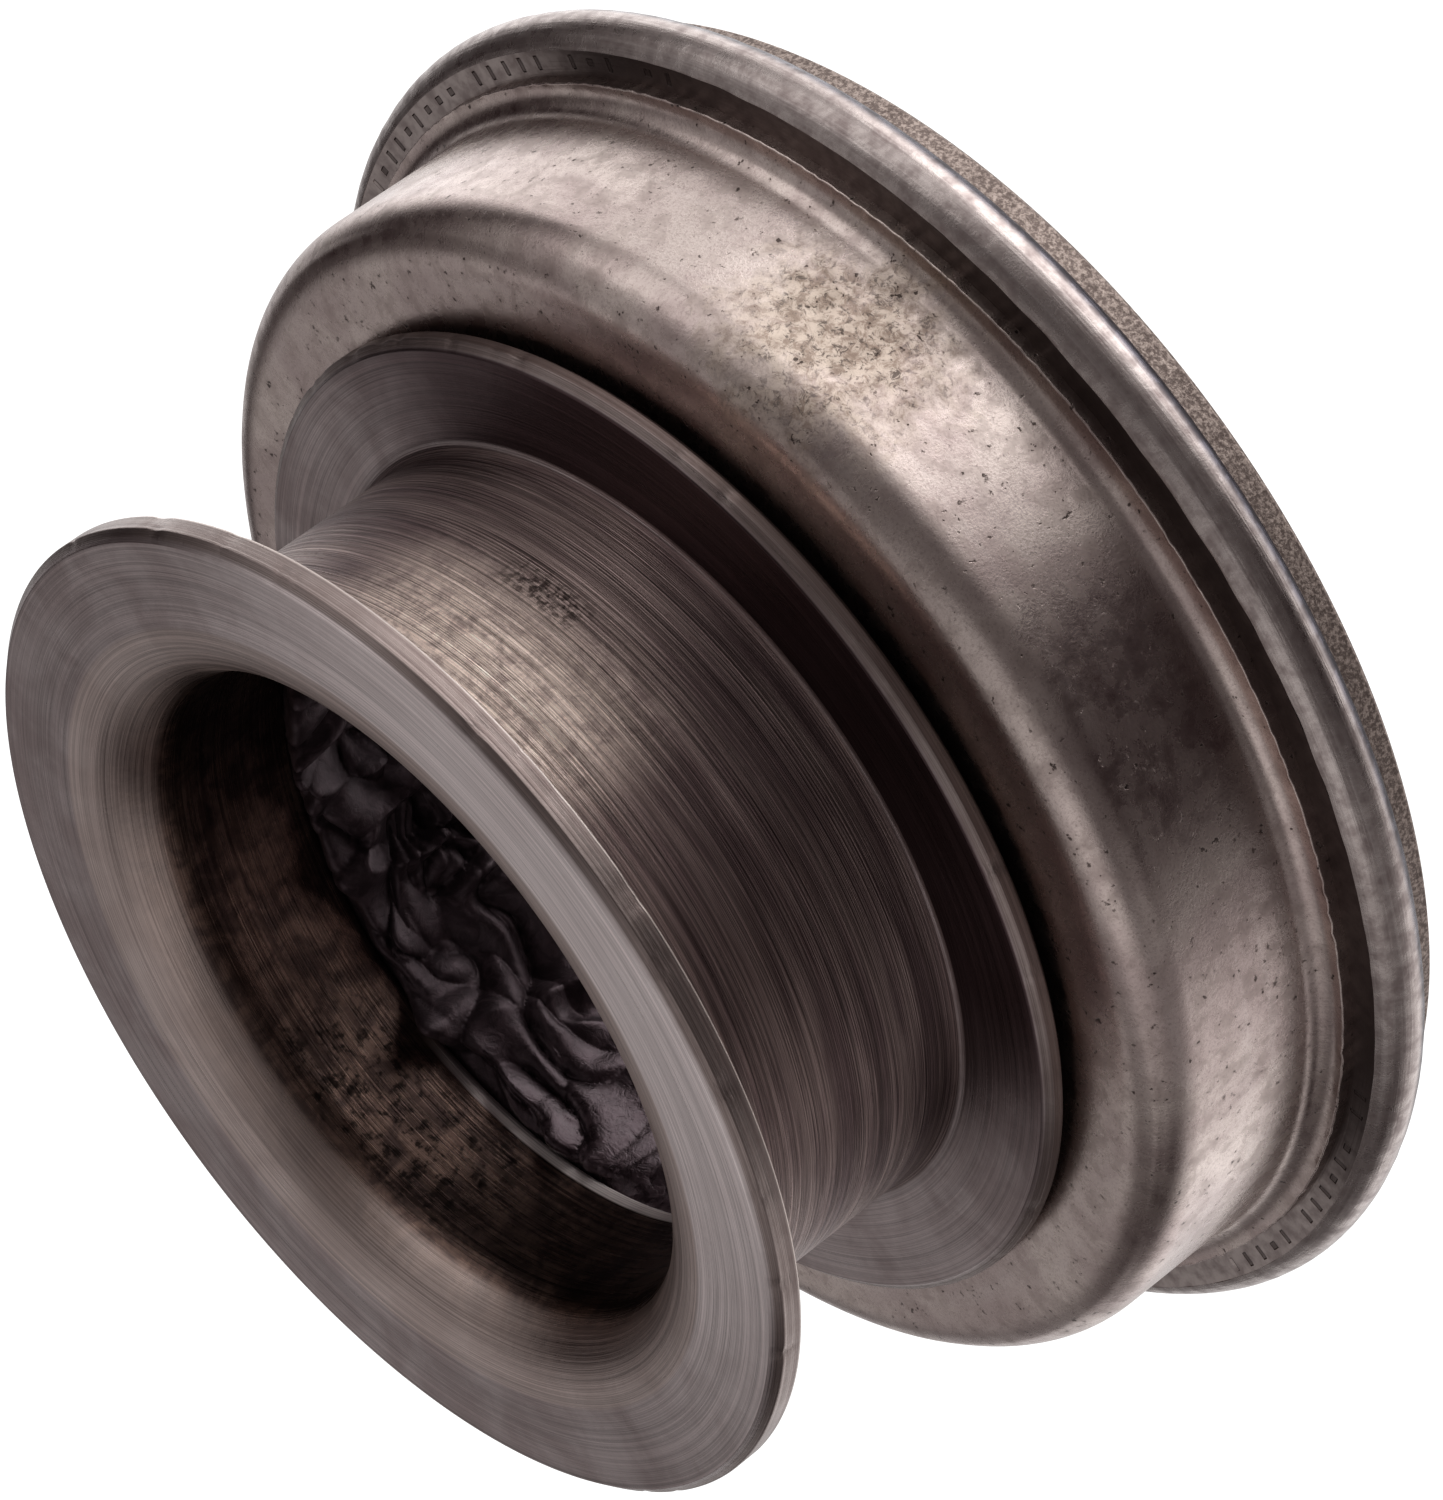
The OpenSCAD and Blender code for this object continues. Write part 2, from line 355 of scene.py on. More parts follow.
def rim_band():
    """The rolled rim, slightly uneven, with its cut edge over the race's face."""
    outer = arc(ROLL_CENTRE_R, ROLL_CENTRE_Z, ROLL_R, ROLL_FROM, ROLL_TO, 34)
    inner = arc(ROLL_CENTRE_R, ROLL_CENTRE_Z, ROLL_R - ROLL_T, ROLL_TO, ROLL_FROM, 14)
    outline = [Vector(p[:2]) for p in outer + inner]

    def shape(r, z, angle):
        radius = np.hypot(r - ROLL_CENTRE_R, z - ROLL_CENTRE_Z)
        skin = np.clip((radius - (ROLL_R - ROLL_T)) / ROLL_T, 0, 1)
        dents = 0.02 * MM * (1 + ripple(angle, 41, 3, 16)) + 0.012 * MM * np.abs(ripple(angle, 43, 20, 90))
        dents = dents * skin
        on_ridge = near(r, ROLL_CENTRE_R + 0.5 * MM, 0.35 * MM) * (z > ROLL_CENTRE_Z)
        lift = on_ridge * ripple(angle, 45, 8, 90) * 0.02 * MM
        out_r, out_z = (r - ROLL_CENTRE_R) / radius, (z - ROLL_CENTRE_Z) / radius
        return r - out_r * dents, z - out_z * dents + lift * skin

    return lathe("rim_band_rolled", outline, 720, shape)


def thrust_race():
    """The turning race: ground thrust face below, and the stamped face round the shell."""
    edge = 0.12 * MM
    roll = arc(ROLL_CENTRE_R, ROLL_CENTRE_Z, ROLL_R - ROLL_T, ROLL_FROM, ROLL_TO, 12)
    # The face runs out to a lip that meets the rolled rim's cut edge
    lip = arc(ROLL_CENTRE_R, ROLL_CENTRE_Z, ROLL_R - 0.03 * MM, ROLL_TO, ROLL_TO, 1)[:1]
    raceway = arc(PITCH_R, BALL_Z, RACEWAY, 0, -100, 20)
    floor_z = raceway[-1][1]
    corners = [
        (THRUST_BORE_R, THRUST_CHAMFER, edge),
        (THRUST_BORE_R + THRUST_CHAMFER, 0, edge),
        (THRUST_PAD_R - 0.4 * MM, 0, edge),
        (THRUST_PAD_R, 0.4 * MM, edge),
        (THRUST_PAD_R, PAD_STEP, 0),
        (THRUST_EDGE_R - 0.3 * MM, PAD_STEP, edge),
        (THRUST_EDGE_R, PAD_STEP + 0.3 * MM, edge),
        (THRUST_EDGE_R, roll[0][1], 0),
        *roll,
        *lip,
        (roll[-1][0] - 0.3 * MM, FLANGE_FACE, 0),
        (SHELL_IN_R, FLANGE_FACE, 0),
        (SHELL_IN_R, SHOULDER_TOP - 0.4 * MM, 0),
        (SHELL_IN_R - 0.4 * MM, SHOULDER_TOP, edge),
        (PITCH_R + RACEWAY, SHOULDER_TOP, edge),
        *raceway,
        (THRUST_BORE_R + 0.6 * MM, floor_z, edge),
        (THRUST_BORE_R, floor_z - 0.6 * MM, edge),
    ]
    return lathe("thrust_race_ground", refined(rounded(corners), 0.6 * MM), 640)


# ---------------------------------------------------------------- materials
# Positions in the materials are in mm from the part's origin. Angles are in degrees from +X.
STAMPS_A_TURN = 150
FULL = (0.3, 0.7)  # where a noise is nearly always found
MIDDLE = (0.35, 0.65)  # a softer-edged split of a noise into two tones


def rgb(red, green, blue):
    """A colour as a socket takes it."""
    return (red, green, blue, 1.0)


def grey(value, warm=0.0):
    """A near-grey colour, warmer with a positive warm."""
    return rgb(value * (1 + warm), value * (1 + 0.15 * warm), value * (1 - 0.6 * warm))


class Graph:
    """A material's node tree, built by calls that return sockets."""

    def __init__(self, name):
        self.material = bpy.data.materials.new(name)
        self.material.use_nodes = True
        self.tree = self.material.node_tree
        self.shader = self.tree.nodes["Principled BSDF"]
        coords = self.add("TexCoord").outputs["Object"]
        self.place = self.vector("SCALE", coords, scale=1 / MM)
        split = self.add("SeparateXYZ", Vector=self.place)
        self.x, self.y, self.z = split.outputs
        squares = self.plus(self.math("POWER", self.x, 2), self.math("POWER", self.y, 2))
        self.r = self.math("SQRT", squares)
        self.cos = self.math("DIVIDE", self.x, self.r)
        self.sin = self.math("DIVIDE", self.y, self.r)
        self.angle = self.math("ARCTAN2", self.y, self.x)

    def add(self, kind, props=None, **inputs):
        made = self.tree.nodes.new("ShaderNode" + kind)
        for key, value in (props or {}).items():
            setattr(made, key, value)
        for key, value in inputs.items():
            self.feed(made.inputs[key.replace("_", " ")], value)
        return made

    def feed(self, socket, value):
        if isinstance(value, bpy.types.NodeSocket):
            self.tree.links.new(value, socket)
        else:
            socket.default_value = value

    def set(self, **inputs):
        for key, value in inputs.items():
            self.feed(self.shader.inputs[key.replace("_", " ")], value)

    def math(self, operation, a, b=0.0):
        made = self.add("Math", {"operation": operation})
        self.feed(made.inputs[0], a)
        self.feed(made.inputs[1], b)
        return made.outputs[0]

    def plus(self, first, *others):
        for other in others:
            first = self.math("ADD", first, other)
        return first

    def times(self, first, *others):
        for other in others:
            first = self.math("MULTIPLY", first, other)
        return first

    def vector(self, operation, a, b=None, scale=None):
        made = self.add("VectorMath", {"operation": operation})
        self.feed(made.inputs[0], a)
        if b is not None:
            self.feed(made.inputs[1], b)
        if scale is not None:
            self.feed(made.inputs["Scale"], scale)
        return made.outputs["Value" if operation == "DISTANCE" else "Vector"]

    def noise(self, scale, detail=4.0, roughness=0.55, distortion=0.0):
        made = self.add("TexNoise", Vector=self.place, Scale=scale, Detail=detail)
        self.feed(made.inputs["Roughness"], roughness)
        self.feed(made.inputs["Distortion"], distortion)
        return made.outputs[0]

    def turning(self, across, along, detail=3.0, roughness=0.6):
        """Tool marks round the axis: across is marks a mm, along is how quickly they change round it."""
        at = self.add("CombineXYZ", X=self.times(self.r, across))
        self.feed(at.inputs["Y"], self.times(self.cos, along))
        self.feed(at.inputs["Z"], self.times(self.sin, along))
        made = self.add("TexNoise", {"noise_dimensions": "4D"}, Vector=at.outputs[0], Detail=detail)
        self.feed(made.inputs["W"], self.times(self.z, across))
        self.feed(made.inputs["Scale"], 1.0)
        self.feed(made.inputs["Roughness"], roughness)
        return made.outputs[0]

    def span(self, value, low, high, to_low=0.0, to_high=1.0):
        """The value taken smoothly from low..high to to_low..to_high, and held outside them."""
        made = self.add("MapRange", {"interpolation_type": "SMOOTHSTEP"}, Value=value)
        ends = {"From Min": low, "From Max": high, "To Min": to_low, "To Max": to_high}
        for key, number in ends.items():
            self.feed(made.inputs[key], number)
        return made.outputs[0]

    def window(self, value, low, high, soft):
        """1 between low and high, fading over soft outside them."""
        rising = self.span(value, low - soft, low)
        falling = self.span(value, high, high + soft, 1, 0)
        return self.times(rising, falling)

    def near_angle(self, degrees, half_width, soft):
        """1 within half_width degrees of a direction round the axis, fading over soft degrees."""
        a = math.radians(degrees)
        cosine = self.plus(self.times(self.cos, math.cos(a)), self.times(self.sin, math.sin(a)))
        low = math.cos(math.radians(min(180, half_width + soft)))
        return self.span(cosine, low, math.cos(math.radians(half_width)))

    def blend(self, factor, a, b, kind="MIX"):
        made = self.add("Mix", {"data_type": "RGBA", "blend_type": kind})
        factor_in, a_in, b_in = made.inputs[0], made.inputs[6], made.inputs[7]
        self.feed(factor_in, factor)
        self.feed(a_in, a)
        self.feed(b_in, b)
        return made.outputs[2]

    def bump(self, height, distance_mm, strength=1.0, under=None):
        made = self.add("Bump", Height=height, Distance=distance_mm * MM, Strength=strength)
        if under is not None:
            self.feed(made.inputs["Normal"], under)
        return made.outputs[0]

    def across_marks(self, amount):
        """Spreads reflections across tool marks that run round the axis."""
        tangent = self.add("Tangent", {"direction_type": "RADIAL", "axis": "Z"}).outputs[0]
        self.feed(self.shader.inputs["Tangent"], tangent)
        self.shader.inputs["Anisotropic"].default_value = amount
        self.shader.inputs["Anisotropic Rotation"].default_value = 0.25


def turned_steel():
    """Dark oily turned steel: tool marks everywhere, heavier in the groove and browner in the bore."""
    g = Graph("turned_steel")

    # Places on the sleeve
    in_groove = g.times(g.window(g.r, 20.3, 21.0, 0.1), g.window(g.z, 19.6, 35.2, 0.1))
    on_face = g.times(g.span(g.z, 36.7, 36.95), g.span(g.r, 21.3, 21.6))
    on_rims = g.span(g.r, 26.1, 26.3)
    back_edge = g.times(on_rims, g.window(g.z, 35.1, 35.45, 0.1))
    on_rear_face = g.times(g.window(g.z, 19.2, 19.6, 0.1), g.window(g.r, 21.3, 26.1, 0.1))
    in_bore = g.times(g.span(g.r, 20.4, 17.5, 0.0, 0.95), g.span(g.z, 20.0, 26.0))
    in_mouth = g.times(g.window(g.r, 18.0, 21.3, 0.3), g.span(g.z, 32.8, 33.8))
    land_front = g.times(g.window(g.z, 28.5, 33.5, 1.2), g.span(g.r, 18.6, 18.0))
    land_edge = g.times(g.window(g.z, 26.0, 27.2, 0.15), g.span(g.r, 18.9, 18.6))

    # Tool marks and stains
    coarse = g.turning(0.9, 1.6, 3)
    medium = g.turning(5.5, 0.5, 4, 0.75)
    fine = g.turning(20.0, 1.6, 2, 0.7)
    streak = g.turning(14.0, 0.35, 3, 0.7)
    stain = g.noise(0.22, 6, 0.6, 0.4)
    mottle = g.noise(1.4, 5, 0.65)
    dirt = g.noise(2.6, 6, 0.7)
    grit = g.plus(mottle, g.times(dirt, 0.5))

    # Face and groove
    colour = g.blend(g.span(stain, *MIDDLE), rgb(0.42, 0.36, 0.355), rgb(0.34, 0.28, 0.275))
    # Painted highlight: a lighter fan on one side of the front face, standing in for light spread across
    # the tool marks.
    painted_highlight_side = g.times(on_face, g.near_angle(-102, 8, 80))
    colour = g.blend(g.times(painted_highlight_side, 0.75), colour, rgb(0.82, 0.74, 0.73))
    groove = g.blend(g.span(coarse, *MIDDLE), rgb(0.34, 0.265, 0.25), rgb(0.18, 0.13, 0.13))
    colour = g.blend(in_groove, colour, groove)
    # A rubbed patch in the groove, painted lighter as a highlight on one side.
    rubbed_highlight = g.times(in_groove, g.near_angle(-60, 7, 22), g.span(g.z, 23.0, 30.0))
    rubbed_highlight = g.times(rubbed_highlight, g.span(g.noise(1.1, 7, 0.75, 0.4), 0.42, 0.64, 1.0, 0.4))
    colour = g.blend(rubbed_highlight, colour, rgb(0.76, 0.63, 0.56))

    # Bore
    oil = g.span(g.noise(0.5, 6, 0.65, 0.8), 0.38, 0.62)
    colour = g.blend(in_bore, colour, g.blend(oil, rgb(0.24, 0.165, 0.135), rgb(0.10, 0.068, 0.06)))
    colour = g.blend(g.times(in_mouth, 0.6), colour, rgb(0.52, 0.43, 0.395))
    spots = g.times(g.near_angle(104, 14, 16), land_front, g.span(grit, 0.74, 0.90, 0, 0.9))
    colour = g.blend(spots, colour, rgb(0.02, 0.015, 0.014))
    # Painted highlight along the land's rounded edge on one side, which is also made rougher.
    land_edge_highlight = g.times(land_edge, g.near_angle(134, 22, 20))
    colour = g.blend(g.times(land_edge_highlight, 0.9), colour, rgb(0.85, 0.78, 0.76))

    # Rims, painted shade on the second flange's face, and the scuff in the groove
    rims = g.blend(g.span(medium, 0.4, 0.6), rgb(0.34, 0.28, 0.255), rgb(0.16, 0.12, 0.105))
    colour = g.blend(g.times(on_rims, 0.6), colour, rims)
    colour = g.blend(g.times(back_edge, 0.8), colour, rgb(0.70, 0.62, 0.58))
    # Painted shade on one side of the second flange's face.
    painted_shade_rear = g.times(on_rear_face, g.near_angle(-80, 45, 45))
    colour = g.blend(painted_shade_rear, colour, rgb(0.11, 0.075, 0.078))
    scuff = g.times(g.near_angle(-57, 2, 7), g.window(g.z, 25.2, 25.8, 1.2), in_groove)
    scuff = g.times(scuff, g.span(dirt, 0.47, 0.56, 0, 0.8))
    colour = g.blend(scuff, colour, rgb(0.03, 0.02, 0.018))

    # Lighter and darker marks, stronger in the groove
    ring_tone = g.plus(g.span(medium, *FULL, 0.80, 1.20), g.span(fine, *FULL, -0.22, 0.22))
    streak_tone = g.plus(g.span(streak, *FULL, 0.60, 1.4), g.span(fine, *FULL, -0.35, 0.35))
    level = g.plus(ring_tone, g.times(in_groove, g.math("SUBTRACT", streak_tone, ring_tone)))
    tone = g.add("CombineColor", Red=level, Green=level, Blue=level).outputs[0]
    colour = g.blend(1.0, colour, tone, "MULTIPLY")

    oiled = g.times(g.span(g.r, 18.6, 17.6), -0.08)
    uneven = g.span(medium, *FULL, -0.06, 0.07)
    rough = g.plus(g.span(stain, *FULL, 0.30, 0.40), g.times(land_edge_highlight, 0.25), oiled, uneven)
    relief = g.plus(g.times(streak, g.plus(in_groove, 0.2)), g.times(medium, 0.25))
    normal = g.bump(grit, 0.03, 0.5, g.bump(relief, 0.10, 0.9))
    g.set(Base_Color=colour, Metallic=1.0, Roughness=rough, Normal=normal)
    g.across_marks(0.6)
    return g.material


def pressed_steel():
    """Satin pressed steel, mottled and stained, with one patch of pale yellowish corrosion."""
    g = Graph("pressed_steel")
    cloud = g.noise(0.14, 5, 0.6, 0.6)
    mottle = g.noise(0.8, 6, 0.65, 0.3)
    grain = g.noise(7.0, 4, 0.7)
    speck = g.noise(2.4, 3, 0.55)
    draw = g.turning(1.0, 2.0, 3)
    colour = g.blend(g.span(cloud, 0.36, 0.66), rgb(0.66, 0.57, 0.53), rgb(0.50, 0.41, 0.39))
    colour = g.blend(g.span(mottle, 0.40, 0.78, 0, 0.5), colour, rgb(0.28, 0.22, 0.20))
    colour = g.blend(g.span(draw, 0.5, 0.75, 0, 0.3), colour, rgb(0.70, 0.62, 0.59))
    colour = g.blend(g.span(grain, 0.48, 0.70, 0, 0.5), colour, rgb(0.30, 0.235, 0.225))

    patch_r, patch_z = 32.0, 12.4
    side = math.radians(-67)
    centre = (patch_r * math.cos(side), patch_r * math.sin(side), patch_z)
    away = g.vector("DISTANCE", g.place, centre)
    ragged = g.times(g.noise(0.45, 6, 0.75, 0.5), 14.0)
    patch = g.span(g.plus(away, ragged), 8.5, 14.5, 1, 0)
    flaky = g.span(g.noise(1.6, 6, 0.75, 0.6), 0.44, 0.60)
    crust = g.blend(flaky, rgb(0.60, 0.51, 0.43), rgb(0.29, 0.22, 0.17))
    crust = g.blend(g.span(g.noise(2.2, 6, 0.8, 1.0), 0.52, 0.60), crust, rgb(0.07, 0.055, 0.04))
    colour = g.blend(g.times(patch, 0.75), colour, crust)
    pits = g.times(g.span(speck, 0.64, 0.69), g.span(mottle, 0.42, 0.58))
    colour = g.blend(g.times(pits, 0.85), colour, rgb(0.06, 0.045, 0.04))

    rough = g.plus(g.span(mottle, *FULL, 0.20, 0.33), g.times(patch, 0.22))
    normal = g.bump(g.math("SUBTRACT", mottle, pits), 0.02, 0.6, g.bump(grain, 0.014, 0.7))
    g.set(Base_Color=colour, Metallic=1.0, Roughness=rough, Normal=normal)
    return g.material


def rim_steel():
    """The rolled rim: satin steel, with painted shade making it darker and bluer below its ridge."""
    g = Graph("rim_steel")
    mottle = g.noise(1.1, 6, 0.62)
    grain = g.noise(6.0, 4, 0.7)
    draw = g.turning(4.0, 3.0, 3)
    height = g.math("SUBTRACT", g.z, ROLL_CENTRE_Z / MM)
    colour = g.blend(g.span(mottle, 0.35, 0.7), rgb(0.50, 0.44, 0.42), rgb(0.32, 0.265, 0.255))
    colour = g.blend(g.span(draw, 0.45, 0.7, 0, 0.4), colour, rgb(0.62, 0.56, 0.54))
    # Painted shade: darker and bluer on the rim's side below its ridge.
    shade_below_ridge = g.blend(g.span(mottle, 0.4, 0.6), rgb(0.17, 0.16, 0.19), rgb(0.09, 0.08, 0.09))
    colour = g.blend(g.span(height, -0.3, -0.9), colour, shade_below_ridge)
    rough = g.span(mottle, *FULL, 0.22, 0.36)
    normal = g.bump(g.plus(grain, g.times(draw, 2.0)), 0.016, 0.8)
    g.set(Base_Color=colour, Metallic=1.0, Roughness=rough, Normal=normal)
    return g.material


def stamps(g):
    """A row of plain bars and dots round the race's face. 1 inside a mark."""
    cell = g.times(g.angle, STAMPS_A_TURN / (2 * math.pi))
    across = g.math("ABSOLUTE", g.math("SUBTRACT", g.math("FRACT", cell), 0.5))
    random = g.add("TexWhiteNoise", {"noise_dimensions": "1D"}, W=g.math("FLOOR", cell))
    pick = random.outputs["Value"]
    row_middle = 34.2
    bar_height = g.window(g.r, 33.85, 34.5, 0.08)
    dot_height = g.span(g.math("ABSOLUTE", g.math("SUBTRACT", g.r, row_middle)), 0.16, 0.22, 1, 0)
    bars = g.times(g.span(across, 0.07, 0.12, 1, 0), g.math("GREATER_THAN", pick, 0.45), bar_height)
    dots = g.times(g.span(across, 0.13, 0.18, 1, 0), g.math("LESS_THAN", pick, 0.25), dot_height)
    where = g.math("MAXIMUM", g.near_angle(-12, 24, 2), g.near_angle(-166, 16, 2))
    return g.times(g.math("MAXIMUM", bars, dots), where)


def race_steel():
    """The thrust race: ground face, brown grainy edge and a stamped row of plain bars and dots."""
    g = Graph("race_steel")
    grind = g.turning(9.0, 3.0, 3)
    mottle = g.noise(1.3, 6, 0.6)
    grain = g.noise(4.5, 5, 0.75)
    on_edge = g.times(g.span(g.r, 33.2, 33.5), g.span(g.z, 4.6, 4.0))
    on_face = g.times(g.window(g.r, 33.3, 34.9, 0.1), g.span(g.z, 6.0, 6.2))
    colour = g.blend(g.span(mottle, 0.35, 0.7), rgb(0.45, 0.39, 0.37), rgb(0.30, 0.25, 0.24))
    edge = g.blend(g.span(grain, 0.42, 0.62), rgb(0.20, 0.16, 0.145), rgb(0.50, 0.42, 0.38))
    colour = g.blend(on_edge, colour, edge)
    # Painted shade: near-black over one side of the stamped face inside the rolled rim.
    painted_shade_stamped_face = g.times(on_face, g.near_angle(-92, 62, 16))
    colour = g.blend(g.times(painted_shade_stamped_face, 0.8), colour, rgb(0.05, 0.035, 0.033))
    stamped = g.times(stamps(g), on_face)
    colour = g.blend(g.times(stamped, 0.7), colour, rgb(0.08, 0.06, 0.055))
    rough = g.plus(g.span(mottle, *FULL, 0.28, 0.40), g.times(on_edge, 0.2))
    relief = g.plus(g.times(grind, 0.3), g.times(grain, on_edge))
    normal = g.bump(stamped, -0.15, 1.0, g.bump(relief, 0.06, 0.6))
    g.set(Base_Color=colour, Metallic=1.0, Roughness=rough, Normal=normal)
    return g.material


def grease_black():
    """Black grease with a wet shine, duller where it is torn, and a finely creased skin."""
    g = Graph("grease_black")
    crease = g.noise(1.1, 6, 0.6, 1.2)
    fine = g.noise(4.5, 4, 0.6, 0.8)
    torn = g.near_angle(60, 40, 25)
    colour = g.blend(g.span(crease, 0.4, 0.65), rgb(0.020, 0.013, 0.015), rgb(0.055, 0.038, 0.043))
    wet = g.span(g.noise(0.5, 4, 0.6), *MIDDLE, 0.20, 0.32)
    normal = g.bump(fine, 0.03, 0.6, g.bump(crease, 0.12, 0.6))
    g.set(Base_Color=colour, Roughness=g.plus(wet, g.times(torn, 0.24)), Normal=normal)
    g.shader.inputs["IOR"].default_value = 1.6
    g.shader.inputs["Specular Tint"].default_value = rgb(1.0, 0.78, 0.85)
    return g.material


def felt_wool():
    """Tan pressed felt, oil-soaked, with fine matted fibres."""
    g = Graph("felt_wool")
    fibres = g.noise(5.0, 6, 0.75, 2.0)
    oil = g.noise(0.3, 4, 0.6)
    colour = g.blend(g.span(fibres, *MIDDLE), rgb(0.26, 0.20, 0.13), rgb(0.42, 0.34, 0.24))
    colour = g.blend(g.span(oil, 0.45, 0.6, 0, 0.7), colour, rgb(0.08, 0.06, 0.04))
    rough = g.span(fibres, *FULL, 0.8, 0.95)
    g.set(Base_Color=colour, Roughness=rough, Normal=g.bump(fibres, 0.2, 0.8))
    g.shader.inputs["Sheen Weight"].default_value = 0.3
    return g.material


def plain_steel(name, light, dark, rough_low, rough_high, marks):
    """Bearing steel with fine marks round the axis and a thin uneven film of oil."""
    g = Graph(name)
    grind = g.turning(marks, 3.0, 3)
    film = g.noise(0.8, 5, 0.6, 0.5)
    colour = g.blend(g.span(film, 0.38, 0.66), light, dark)
    rough = g.plus(g.span(film, *FULL, rough_low, rough_high), g.span(grind, *FULL, -0.03, 0.04))
    g.set(Base_Color=colour, Metallic=1.0, Roughness=rough, Normal=g.bump(grind, 0.02, 0.5))
    return g.material


def studio_white():
    """The pale floor and the pale dome round it."""
    g = Graph("floor_white")
    haze = g.noise(0.01, 2, 0.5)
    glow = g.blend(haze, rgb(1.0, 1.0, 1.0), rgb(0.985, 0.985, 0.985))
    g.set(Base_Color=rgb(0.1, 0.1, 0.1), Roughness=0.9, Emission_Color=glow)
    g.shader.inputs["Emission Strength"].default_value = 0.97
    return g.material


# ---------------------------------------------------------------- assembly
FINISHES = {
    "turned_steel": turned_steel(),
    "pressed_steel": pressed_steel(),
    "rim_steel": rim_steel(),
    "race_steel": race_steel(),
    "grease": grease_black(),
    "felt": felt_wool(),
    "bearing_steel": plain_steel("bearing_steel", grey(0.56, 0.02), grey(0.40, 0.06), 0.16, 0.30, 16.0),
    "cage_steel": plain_steel("cage_steel", grey(0.48, 0.12), grey(0.30, 0.18), 0.28, 0.42, 6.0),
    "ball_steel": plain_steel("ball_steel", grey(0.70, 0.0), grey(0.58, 0.04), 0.06, 0.14, 2.0),
}


def dress(piece, finish):
    """Gives a piece one of the finishes."""
    piece.data.materials.clear()
    piece.data.materials.append(FINISHES[finish])


for row in frame["record"]["subparts"]:
    dress(frame["nodes"][row["node"]], row["material_slot"])

DETAILED = [
    (carrier_sleeve, "carrier_sleeve", "carrier", "turned_steel"),
    (bore_grease, "bore_grease", "carrier", "grease"),
    (housing_shell, "housing_shell", "rotor", "pressed_steel"),
    (rim_band, "rim_band", "rotor", "rim_steel"),
    (thrust_race, "thrust_race", "rotor", "race_steel"),
]
for build, node, body, finish in DETAILED:
    made = build()
    dress(made, finish)
    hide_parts(node)
    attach(made, body)


# ---------------------------------------------------------------- studio
ELEVATION = math.radians(28.2)
ROLL = math.radians(-126.1)
AIM = Vector((0.83, -2.02, 14.73)) * MM
DISTANCE = 359.3 * MM
LENS, SENSOR = 180.93, 36
NEAREST_SEEN, FARTHEST_SEEN = 0.01, 20
FLOOR_HALF = 3.0
DOME_R = 2.0

camera_data = bpy.data.cameras.new("camera")
camera_data.lens = LENS
camera_data.sensor_width = SENSOR
camera_data.clip_start = NEAREST_SEEN
camera_data.clip_end = FARTHEST_SEEN
camera = bpy.data.objects.new("camera", camera_data)
bpy.context.scene.collection.objects.link(camera)
bpy.context.scene.camera = camera
BACK = Vector((0, -math.cos(ELEVATION), math.sin(ELEVATION)))
level_right = Vector((1, 0, 0))
level_up = BACK.cross(level_right)
RIGHT = level_right * math.cos(ROLL) + level_up * math.sin(ROLL)
UP = BACK.cross(RIGHT)
turn = Matrix((RIGHT, UP, BACK)).transposed().to_4x4()
camera.matrix_world = Matrix.Translation(AIM + BACK * DISTANCE) @ turn


def backdrop():
    """A pale floor and dome, seen by the camera but kept out of the reflections."""
    white = studio_white()
    floor_mesh = bpy.data.meshes.new("floor")
    signs = ((-1, -1), (1, -1), (1, 1), (-1, 1))
    floor_mesh.from_pydata([(x * FLOOR_HALF, y * FLOOR_HALF, 0) for x, y in signs], [], [(0, 1, 2, 3)])
    dome_mesh = bpy.data.meshes.new("dome")
    bm = bmesh.new()
    bmesh.ops.create_icosphere(bm, subdivisions=3, radius=DOME_R)
    bm.to_mesh(dome_mesh)
    bm.free()
    for mesh in (floor_mesh, dome_mesh):
        made = bpy.data.objects.new(mesh.name, mesh)
        bpy.context.scene.collection.objects.link(made)
        mesh.materials.append(white)
        made.visible_glossy = False
        made.visible_diffuse = False
        made.visible_transmission = False
        made.visible_shadow = False


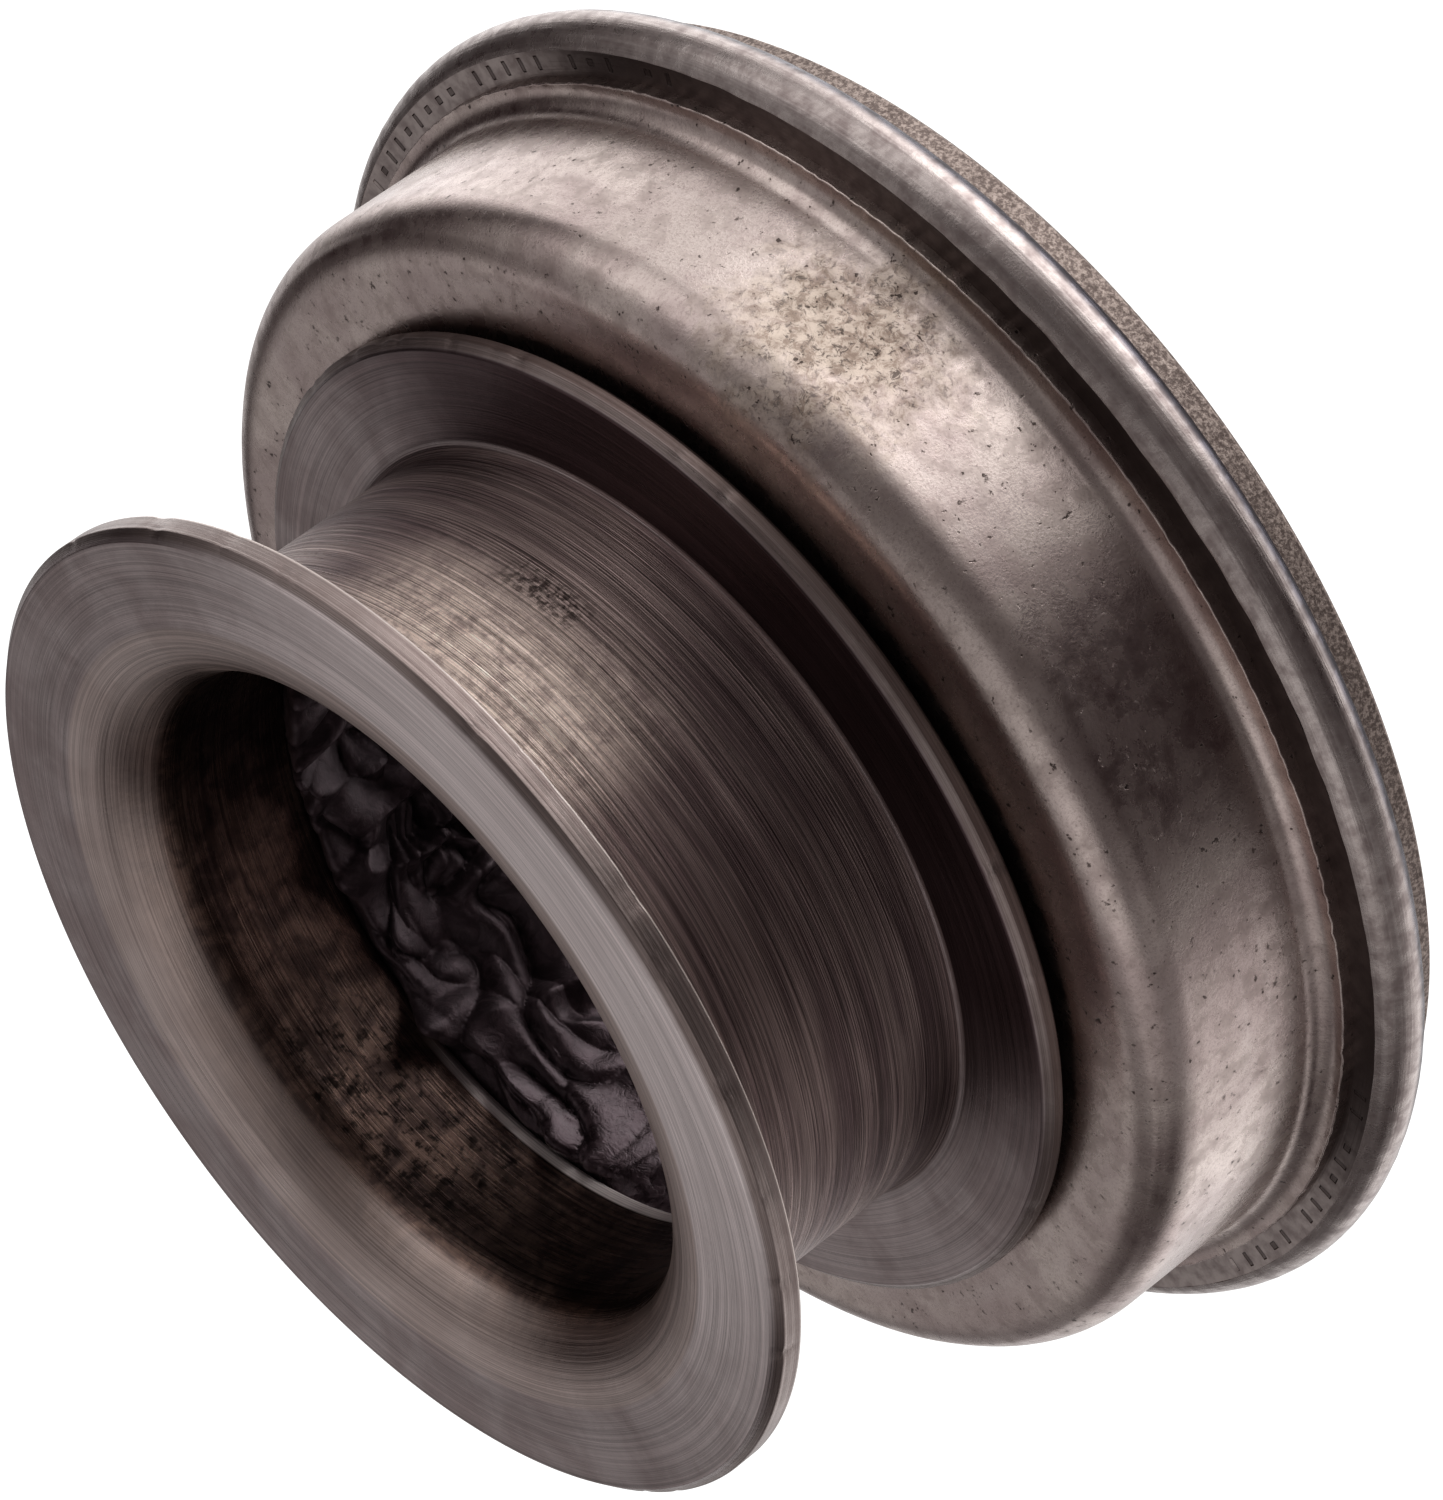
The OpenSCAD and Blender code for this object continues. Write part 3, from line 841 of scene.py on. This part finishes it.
# Soft light from all round. Each row is a direction (right, up, back), the cosine where the
# lobe starts, and its strength. Most rows were rounded from a brightness fit that a separate
# program made, and then adjusted by hand. They aren't a plain studio and should be replaced by
# a few lights placed by hand.
AMBIENT = (0.020, 0.010, 0.011)
LOBES = [
    ((0.5, 0.85, 0.0), 0.80, 1.65),
    ((0.4, 0.8, 0.45), 0.80, 0.55),
    ((-0.5, 0.75, 0.4), 0.80, 0.85),
    ((-0.1, 0.7, -0.7), 0.80, 0.90),
    ((0.85, 0.45, -0.25), 0.80, 0.90),
    ((0.15, 0.9, -0.35), 0.80, 0.65),
    ((0.7, -0.45, -0.55), 0.80, 0.60),
    ((0.9, -0.05, -0.45), 0.80, 0.45),
    ((0.3, -0.35, -0.9), 0.80, 0.55),
    ((-0.75, -0.55, -0.4), 0.80, 0.36),
    ((0.0, -0.6, -0.8), 0.80, 0.20),
    ((-0.1, -0.95, 0.3), 0.80, 0.42),
    ((-0.3, -0.65, 0.7), 0.80, 0.30),
    ((0.0, 1.0, 0.2), 0.80, 0.30),
    ((-0.9, 0.3, 0.2), 0.80, 0.38),
    ((0.7, -0.7, 0.2), 0.80, 0.26),
    ((-0.2, 0.3, -0.9), 0.80, 0.60),
    ((-0.85, -0.5, 0.1), 0.80, 0.30),
    ((0.0, 0.0, 1.0), 0.30, 0.14),
]


def sky():
    """The studio as a smooth surrounding: dim all over, with a few broad soft lights."""
    world = bpy.data.worlds.new("studio")
    world.use_nodes = True
    bpy.context.scene.world = world
    tree = world.node_tree
    background = tree.nodes["Background"]
    coords = tree.nodes.new("ShaderNodeTexCoord").outputs["Generated"]
    ambient = tree.nodes.new("ShaderNodeCombineXYZ")
    for socket, value in zip(ambient.inputs, AMBIENT):
        socket.default_value = value
    total = ambient.outputs[0]
    for (right, up, back), start, strength in LOBES:
        toward = (RIGHT * right + UP * up + BACK * back).normalized()
        dot = tree.nodes.new("ShaderNodeVectorMath")
        dot.operation = "DOT_PRODUCT"
        tree.links.new(coords, dot.inputs[0])
        dot.inputs[1].default_value = toward
        lobe = tree.nodes.new("ShaderNodeMapRange")
        lobe.interpolation_type = "SMOOTHSTEP"
        tree.links.new(dot.outputs["Value"], lobe.inputs["Value"])
        lobe.inputs["From Min"].default_value = start
        lobe.inputs["To Max"].default_value = strength
        add = tree.nodes.new("ShaderNodeVectorMath")
        tree.links.new(total, add.inputs[0])
        tree.links.new(lobe.outputs[0], add.inputs[1])
        total = add.outputs[0]
    tree.links.new(total, background.inputs["Color"])


backdrop()
sky()
bpy.context.scene.view_settings.view_transform = "Standard"
bpy.context.scene.view_settings.look = "Medium High Contrast"
